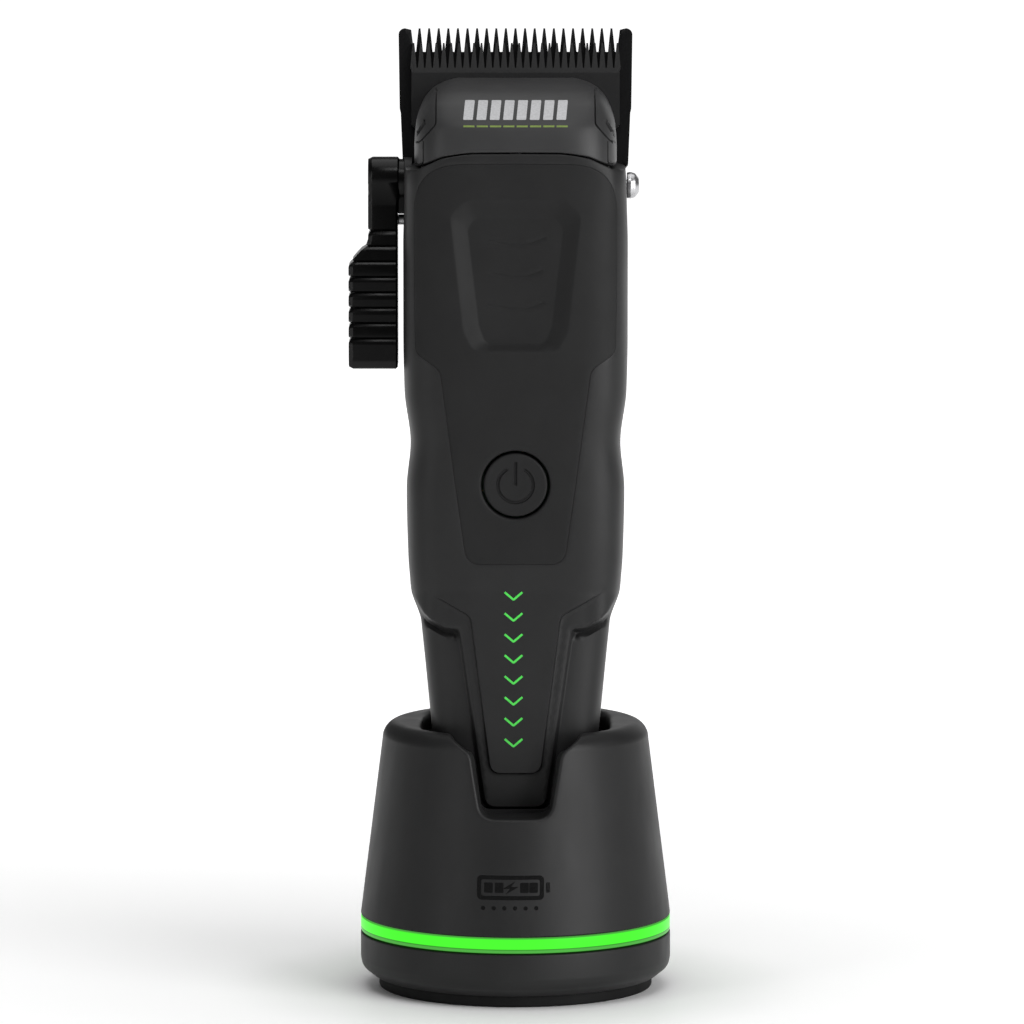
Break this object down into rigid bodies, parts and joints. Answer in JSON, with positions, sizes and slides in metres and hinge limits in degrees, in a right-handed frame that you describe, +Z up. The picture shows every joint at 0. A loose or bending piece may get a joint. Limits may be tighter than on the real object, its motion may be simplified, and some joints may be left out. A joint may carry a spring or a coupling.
{
  "type": "cordless hair clipper with charging dock",
  "caption": "Cordless hair clipper standing in a round charging dock: tapered body, toothed blade set, side taper lever, press button and a lit ring round the dock's foot.",
  "frame": {"origin": "centre of the dock's underside, on the surface that it stands on", "axes": "+Z up along the clipper, -Y towards the power button, -X towards the taper lever"},
  "size_m": [0.0643, 0.0622, 0.1916],
  "materials": {
    "matte_black": "fine moulded texture, satin",
    "soft_touch_black": "soft-touch coating, very matte",
    "cap_grey": "fine moulded texture, satin",
    "gloss_black": "gloss",
    "blade_black": "black coated steel, semi-gloss",
    "cutter_grey": "dark coated steel, ground bevels",
    "chrome": "polished",
    "steel": "brushed",
    "brass": "plated, polished",
    "green_light": "translucent, lit",
    "rubber_black": "matte",
    "board_green": "solder mask",
    "cell_wrap": "shrink wrap over a metal can",
    "inner_plastic": "plain moulded"
  },
  "bodies": {
    "dock": {"foot_pad": "rubber_black", "dock_base_cup": "matte_black", "light_ring": "green_light", "dock_shell": "matte_black", "dock_well": "matte_black", "dock_ballast": "steel", "dock_circuit_board": "board_green", "ring_led_1": "green_light", "ring_led_2": "green_light", "ring_led_3": "green_light", "ring_led_4": "green_light", "dock_power_socket": "steel", "charge_pin_block": "inner_plastic", "charge_pin_spring_left": "steel", "charge_pin_spring_right": "steel", "dock_screw_1": "steel", "dock_screw_2": "steel", "dock_screw_3": "steel"},
    "charge_pin_left": {"charge_pin_left": "brass"},
    "charge_pin_right": {"charge_pin_right": "brass"},
    "clipper": {"front_housing": "matte_black", "rear_housing": "matte_black", "soft_touch_panel": "soft_touch_black", "head_cap": "cap_grey", "cap_clip_left": "gloss_black", "cap_clip_right": "gloss_black", "end_cap": "matte_black", "circuit_board": "board_green", "tact_switch": "steel", "battery_cell": "cell_wrap", "battery_cradle": "inner_plastic", "charging_jack": "steel", "charge_contact_left": "brass", "charge_contact_right": "brass", "housing_screw_lower_left": "steel", "housing_screw_lower_right": "steel", "housing_screw_upper_left": "steel", "housing_screw_upper_right": "steel", "motor": "steel", "drive_chassis": "inner_plastic", "motor_screw_left": "steel", "motor_screw_right": "steel", "side_screw": "chrome", "detent_spring": "steel"},
    "power_button": {"power_button": "soft_touch_black"},
    "motor_rotor": {"motor_shaft": "steel"},
    "cutter": {"cutter_blade": "cutter_grey", "drive_yoke": "inner_plastic"},
    "blade_set": {"stationary_blade": "blade_black", "blade_carrier": "inner_plastic", "tension_spring": "steel", "blade_screw_left": "steel", "blade_screw_right": "steel"},
    "taper_lever": {"taper_lever": "gloss_black", "cross_shaft": "steel", "lever_cam": "steel", "lever_washer": "gloss_black"},
    "detent_plunger": {"detent_plunger": "steel"}
  },
  "joints": [
    {"name": "clipper_lift", "type": "slide", "parent": "dock", "child": "clipper", "axis": [0, 0, 1], "range_m": [0, 0.06]},
    {"name": "charge_pin_left_press", "type": "slide", "parent": "dock", "child": "charge_pin_left", "axis": [0, 0, -1], "range_m": [0, 0.0008], "stiffness_N_per_m": 400, "deforming": ["charge_pin_spring_left"]},
    {"name": "charge_pin_right_press", "type": "slide", "parent": "dock", "child": "charge_pin_right", "axis": [0, 0, -1], "range_m": [0, 0.0008], "stiffness_N_per_m": 400, "deforming": ["charge_pin_spring_right"]},
    {"name": "power_button_press", "type": "slide", "parent": "clipper", "child": "power_button", "axis": [0, 1, 0], "range_m": [0, 0.0008], "stiffness_N_per_m": 1500},
    {"name": "taper_lever_turn", "type": "hinge", "parent": "clipper", "child": "taper_lever", "pos_m": [-0.0245, -0.0005, 0.1622], "axis": [-1, 0, 0], "range_deg": [0, 40]},
    {"name": "blade_taper_slide", "type": "slide", "parent": "clipper", "child": "blade_set", "axis": [0, -0.2588, -0.9659], "range_m": [0, 0.0022]},
    {"name": "cutter_stroke", "type": "slide", "parent": "clipper", "child": "cutter", "axis": [1, 0, 0], "range_m": [-0.0014, 0.0014]},
    {"name": "motor_spin", "type": "hinge", "parent": "clipper", "child": "motor_rotor", "pos_m": [0, -0.004, 0.14], "axis": [0, 0, 1], "continuous": true},
    {"name": "detent_press", "type": "slide", "parent": "clipper", "child": "detent_plunger", "axis": [1, 0, 0], "range_m": [0, 0.0005], "stiffness_N_per_m": 1500, "deforming": ["detent_spring"]}
  ],
  "couplings": [
    {"joint": "taper_lever_turn", "follows": "blade_taper_slide", "rad_per_m": 317.33}
  ]
}
